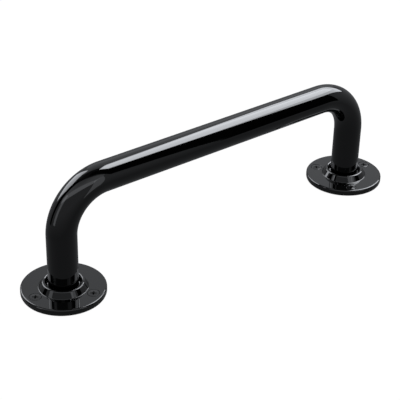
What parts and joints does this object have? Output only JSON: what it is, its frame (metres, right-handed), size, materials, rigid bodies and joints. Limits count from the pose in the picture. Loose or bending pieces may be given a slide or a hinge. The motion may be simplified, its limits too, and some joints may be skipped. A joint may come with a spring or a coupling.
{
  "type": "fixed assist rail",
  "caption": "Straight fixed assist rail: a round tube bent at both ends into legs that stand on round screw-down flanges, each with a raised conical hub.",
  "frame": {"origin": "on the mounting surface, midway between the two flanges", "axes": "+Z away from the mounting surface, +X along the rail from the left flange to the right one, +Y across it"},
  "size_m": [0.4892, 0.0892, 0.1345],
  "materials": {
    "gloss_black_coat": "high gloss black coating on steel",
    "black_screw": "gloss black coated steel",
    "seal_rubber": "matt black rubber",
    "plain_steel": "zinc plated"
  },
  "bodies": {
    "root": {"rail_tube": "gloss_black_coat", "left_flange": "gloss_black_coat", "right_flange": "gloss_black_coat", "left_wall_pad": "seal_rubber", "right_wall_pad": "seal_rubber", "left_end_plug": "plain_steel", "right_end_plug": "plain_steel", "left_spring_washer": "plain_steel", "right_spring_washer": "plain_steel", "left_hub_bolt": "plain_steel", "right_hub_bolt": "plain_steel", "left_screw_outer": "black_screw", "left_screw_front": "black_screw", "left_screw_back": "black_screw", "right_screw_outer": "black_screw", "right_screw_front": "black_screw", "right_screw_back": "black_screw"}
  },
  "joints": []
}
